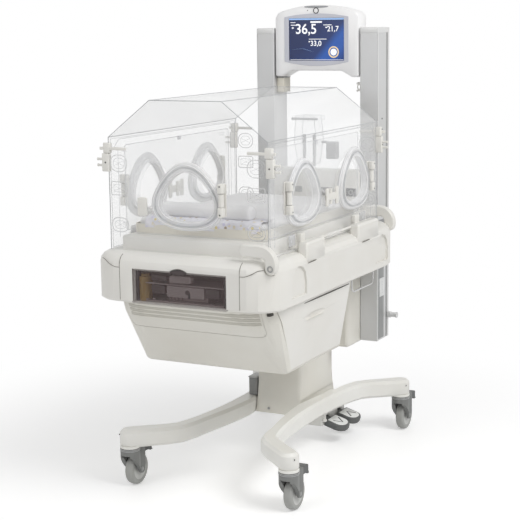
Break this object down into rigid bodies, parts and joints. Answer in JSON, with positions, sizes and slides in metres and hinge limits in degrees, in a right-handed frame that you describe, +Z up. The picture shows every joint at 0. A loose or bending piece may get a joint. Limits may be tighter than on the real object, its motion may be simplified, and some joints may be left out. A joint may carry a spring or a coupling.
{
  "type": "infant incubator",
  "caption": "Hooded infant incubator on a lifting trolley, with drop-down side panels, hand ports, tilting bed, humidifier bay, drawers, masts with a monitor and braked casters.",
  "frame": {"origin": "centre of the outer box on the floor, under the wheels", "axes": "+X towards the side with the drawer, the pedals and the tilt levers, +Y towards the masts, +Z up"},
  "size_m": [0.6136, 1.1574, 1.4848],
  "materials": {
    "ivory": "satin ivory moulding",
    "warm_white": "satin white moulding",
    "beam_white": "powder coated",
    "mast_grey": "satin coated profile",
    "mid_grey": "fine grain",
    "wheel_grey": "matt tread with a lighter disc",
    "pedal_grey": "matt with a light top plate",
    "column_steel": "brushed",
    "clear": "clear polished acrylic",
    "cuff": "milky seal ring",
    "smoke": "smoked transparent",
    "amber": "amber transparent",
    "mauve": "satin",
    "cream": "satin",
    "linen": "woven cotton cover",
    "screen": "glossy display"
  },
  "bodies": {
    "base": {"base_frame": "beam_white", "column_sleeve": "ivory", "pedal_housing": "mid_grey"},
    "upper": {"lift_column": "column_steel", "belly_housing": "ivory", "tray_housing": "warm_white", "water_reservoir": "amber", "filter_cover": "mauve", "chamber_shelf": "mauve", "hood_shell": "clear", "port_frame_front": "cuff", "mast_left": "mast_grey", "mast_right": "mast_grey", "monitor": "warm_white", "screen": "screen", "rear_bulkhead": "warm_white", "rear_housing": "ivory", "sensor_pod": "clear", "cable_bail": "column_steel"},
    "swivel_fl": {"caster_fl_fork": "mid_grey"},
    "wheel_fl": {"caster_fl_wheel": "wheel_grey"},
    "brake_fl": {"caster_fl_brake": "mid_grey"},
    "swivel_fr": {"caster_fr_fork": "mid_grey"},
    "wheel_fr": {"caster_fr_wheel": "wheel_grey"},
    "brake_fr": {"caster_fr_brake": "mid_grey"},
    "swivel_rl": {"caster_rl_fork": "mid_grey"},
    "wheel_rl": {"caster_rl_wheel": "wheel_grey"},
    "brake_rl": {"caster_rl_brake": "mid_grey"},
    "swivel_rr": {"caster_rr_fork": "mid_grey"},
    "wheel_rr": {"caster_rr_wheel": "wheel_grey"},
    "brake_rr": {"caster_rr_brake": "mid_grey"},
    "pedal_down": {"pedal_down": "pedal_grey"},
    "pedal_up": {"pedal_up": "pedal_grey"},
    "front_drawer": {"front_drawer": "ivory"},
    "side_drawer": {"side_drawer": "warm_white"},
    "humidifier_door": {"humidifier_door": "smoke"},
    "filter_knob": {"filter_knob": "pedal_grey"},
    "bed_carrier": {"bed_carrier": "warm_white"},
    "bed": {"mattress_tray": "cream", "mattress": "linen", "bolster": "linen"},
    "lever_front": {"tilt_lever_front": "warm_white"},
    "lever_rear": {"tilt_lever_rear": "warm_white"},
    "panel_right": {"side_panel_right": "clear", "inner_wall_right": "clear", "port_frame_right_near": "cuff", "port_frame_right_far": "cuff"},
    "panel_left": {"side_panel_left": "clear", "inner_wall_left": "clear", "port_frame_left_near": "cuff", "port_frame_left_far": "cuff"},
    "door_front": {"port_door_front": "clear"},
    "door_right_near": {"port_door_right_near": "clear"},
    "door_right_far": {"port_door_right_far": "clear"},
    "door_left_near": {"port_door_left_near": "clear"},
    "door_left_far": {"port_door_left_far": "clear"},
    "latch_front": {"port_latch_front": "warm_white"},
    "latch_right": {"port_latch_right": "warm_white"},
    "latch_left": {"port_latch_left": "warm_white"},
    "monitor_button": {"monitor_button": "mast_grey"}
  },
  "joints": [
    {"name": "swivel_fl", "type": "hinge", "parent": "base", "child": "swivel_fl", "pos_m": [-0.2753, -0.4309, 0.1277], "axis": [0, 0, 1], "continuous": true},
    {"name": "roll_fl", "type": "hinge", "parent": "swivel_fl", "child": "wheel_fl", "pos_m": [-0.2753, -0.3969, 0.05], "axis": [1, 0, 0], "continuous": true},
    {"name": "brake_fl", "type": "hinge", "parent": "swivel_fl", "child": "brake_fl", "pos_m": [-0.2753, -0.3879, 0.1082], "axis": [-1, 0, 0], "range_deg": [0, 10]},
    {"name": "swivel_fr", "type": "hinge", "parent": "base", "child": "swivel_fr", "pos_m": [0.2753, -0.4309, 0.1277], "axis": [0, 0, 1], "continuous": true},
    {"name": "roll_fr", "type": "hinge", "parent": "swivel_fr", "child": "wheel_fr", "pos_m": [0.2753, -0.3969, 0.05], "axis": [1, 0, 0], "continuous": true},
    {"name": "brake_fr", "type": "hinge", "parent": "swivel_fr", "child": "brake_fr", "pos_m": [0.2753, -0.3879, 0.1082], "axis": [-1, 0, 0], "range_deg": [0, 10]},
    {"name": "swivel_rl", "type": "hinge", "parent": "base", "child": "swivel_rl", "pos_m": [-0.2753, 0.4747, 0.1277], "axis": [0, 0, 1], "continuous": true},
    {"name": "roll_rl", "type": "hinge", "parent": "swivel_rl", "child": "wheel_rl", "pos_m": [-0.2753, 0.5087, 0.05], "axis": [1, 0, 0], "continuous": true},
    {"name": "brake_rl", "type": "hinge", "parent": "swivel_rl", "child": "brake_rl", "pos_m": [-0.2753, 0.5177, 0.1082], "axis": [-1, 0, 0], "range_deg": [0, 10]},
    {"name": "swivel_rr", "type": "hinge", "parent": "base", "child": "swivel_rr", "pos_m": [0.2753, 0.4747, 0.1277], "axis": [0, 0, 1], "continuous": true},
    {"name": "roll_rr", "type": "hinge", "parent": "swivel_rr", "child": "wheel_rr", "pos_m": [0.2753, 0.5087, 0.05], "axis": [1, 0, 0], "continuous": true},
    {"name": "brake_rr", "type": "hinge", "parent": "swivel_rr", "child": "brake_rr", "pos_m": [0.2753, 0.5177, 0.1082], "axis": [-1, 0, 0], "range_deg": [0, 10]},
    {"name": "press_pedal_down", "type": "hinge", "parent": "base", "child": "pedal_down", "pos_m": [0.074, 0.2693, 0.077], "axis": [0, 1, 0], "range_deg": [0, 8], "stiffness_Nm_per_rad": 12, "springref_deg": -3.44},
    {"name": "press_pedal_up", "type": "hinge", "parent": "base", "child": "pedal_up", "pos_m": [0.074, 0.3673, 0.077], "axis": [0, 1, 0], "range_deg": [0, 8], "stiffness_Nm_per_rad": 12, "springref_deg": -3.44},
    {"name": "lift", "type": "slide", "parent": "base", "child": "upper", "axis": [0, 0, 1], "range_m": [0, 0.2]},
    {"name": "pull_front_drawer", "type": "slide", "parent": "upper", "child": "front_drawer", "axis": [0, -1, 0], "range_m": [0, 0.22]},
    {"name": "pull_side_drawer", "type": "slide", "parent": "upper", "child": "side_drawer", "axis": [1, 0, 0], "range_m": [0, 0.25]},
    {"name": "open_humidifier_door", "type": "hinge", "parent": "upper", "child": "humidifier_door", "pos_m": [0, -0.57545, 0.629], "axis": [1, 0, 0], "range_deg": [0, 95]},
    {"name": "turn_filter_knob", "type": "hinge", "parent": "upper", "child": "filter_knob", "pos_m": [0.027, -0.5573, 0.6583], "axis": [0, 1, 0], "range_deg": [0, 90]},
    {"name": "raise_far_end", "type": "hinge", "parent": "upper", "child": "bed_carrier", "pos_m": [0, -0.4657, 0.8123], "axis": [1, 0, 0], "range_deg": [0, 12]},
    {"name": "raise_near_end", "type": "hinge", "parent": "bed_carrier", "child": "bed", "pos_m": [0, 0.1993, 0.8166], "axis": [-1, 0, 0], "range_deg": [0, 12]},
    {"name": "turn_lever_front", "type": "hinge", "parent": "upper", "child": "lever_front", "pos_m": [0.287, -0.54, 0.754], "axis": [0, 1, 0], "range_deg": [0, 60]},
    {"name": "turn_lever_rear", "type": "hinge", "parent": "upper", "child": "lever_rear", "pos_m": [0.287, 0.3253, 0.754], "axis": [0, 1, 0], "range_deg": [0, 60]},
    {"name": "drop_panel_right", "type": "hinge", "parent": "upper", "child": "panel_right", "pos_m": [0.275, -0.1017, 0.79], "axis": [0, 1, 0], "range_deg": [0, 90]},
    {"name": "drop_panel_left", "type": "hinge", "parent": "upper", "child": "panel_left", "pos_m": [-0.275, -0.1017, 0.79], "axis": [0, -1, 0], "range_deg": [0, 90]},
    {"name": "open_door_front", "type": "hinge", "parent": "upper", "child": "door_front", "pos_m": [0.122, -0.5357, 0.935], "axis": [0, 0, 1], "range_deg": [0, 115]},
    {"name": "open_door_right_near", "type": "hinge", "parent": "panel_right", "child": "door_right_near", "pos_m": [0.2786, -0.4177, 0.935], "axis": [0, 0, -1], "range_deg": [0, 115]},
    {"name": "open_door_right_far", "type": "hinge", "parent": "panel_right", "child": "door_right_far", "pos_m": [0.2786, 0.1943, 0.935], "axis": [0, 0, 1], "range_deg": [0, 115]},
    {"name": "open_door_left_near", "type": "hinge", "parent": "panel_left", "child": "door_left_near", "pos_m": [-0.2786, -0.4177, 0.935], "axis": [0, 0, 1], "range_deg": [0, 115]},
    {"name": "open_door_left_far", "type": "hinge", "parent": "panel_left", "child": "door_left_far", "pos_m": [-0.2786, 0.1943, 0.935], "axis": [0, 0, -1], "range_deg": [0, 115]},
    {"name": "rock_latch_front", "type": "hinge", "parent": "upper", "child": "latch_front", "pos_m": [-0.142, -0.527, 0.905], "axis": [0, 0, 1], "range_deg": [-5, 5], "stiffness_Nm_per_rad": 1},
    {"name": "rock_latch_right", "type": "hinge", "parent": "panel_right", "child": "latch_right", "pos_m": [0.2699, -0.1117, 0.905], "axis": [0, 0, 1], "range_deg": [-5, 5], "stiffness_Nm_per_rad": 1},
    {"name": "rock_latch_left", "type": "hinge", "parent": "panel_left", "child": "latch_left", "pos_m": [-0.2699, -0.1117, 0.905], "axis": [0, 0, 1], "range_deg": [-5, 5], "stiffness_Nm_per_rad": 1},
    {"name": "press_monitor_button", "type": "slide", "parent": "upper", "child": "monitor_button", "axis": [0, 1, 0], "range_m": [0, 0.0015], "stiffness_N_per_m": 800, "springref_m": -0.0005}
  ],
  "couplings": [
    {"joint": "turn_lever_rear", "follows": "raise_far_end", "ratio": 5},
    {"joint": "turn_lever_front", "follows": "raise_near_end", "ratio": 5}
  ]
}
